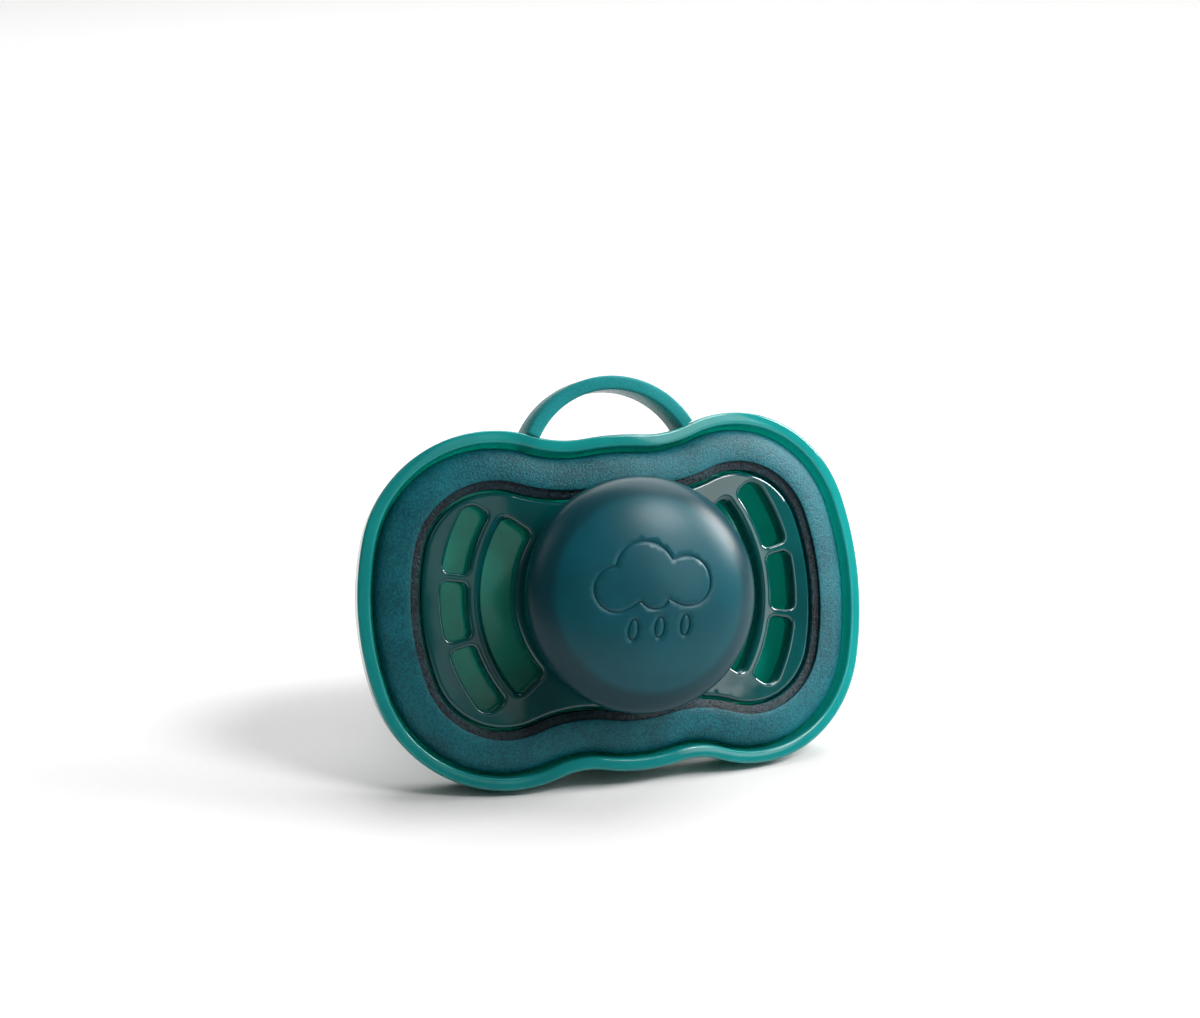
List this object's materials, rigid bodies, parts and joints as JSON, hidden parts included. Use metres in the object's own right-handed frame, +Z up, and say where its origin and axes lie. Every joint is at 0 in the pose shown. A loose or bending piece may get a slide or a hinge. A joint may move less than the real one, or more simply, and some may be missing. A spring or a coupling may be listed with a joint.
{
  "type": "pacifier in a storage case",
  "caption": "Button pacifier with a vented butterfly shield and domed knob, held face out in a tray-shaped storage case with a teat dome and a carrying loop.",
  "frame": {"origin": "under the middle of the whole object's box, on the surface that it stands on", "axes": "+Z up, +X along the mirror axis from left to right as seen from the knob side, -Y towards the front, so +Y points from the knob to the dome's side"},
  "size_m": [0.056, 0.0438, 0.0414],
  "materials": {
    "case": "polished, slightly see-through teal",
    "frosted_ring": "fine frosted grain",
    "clear_panel": "polished, see-through dark teal",
    "knob": "satin, slightly see-through blue teal",
    "silicone": "clear soft silicone"
  },
  "bodies": {
    "case": {"case_tray": "case", "carry_loop": "case"},
    "pacifier": {"shield_ring": "frosted_ring", "shield_panel": "clear_panel", "knob_cap": "knob", "knob_base": "knob", "teat": "silicone"}
  },
  "joints": [
    {"name": "pacifier_out", "type": "slide", "parent": "case", "child": "pacifier", "axis": [0, -0.9531, 0.3028], "range_m": [0, 0.042]}
  ]
}
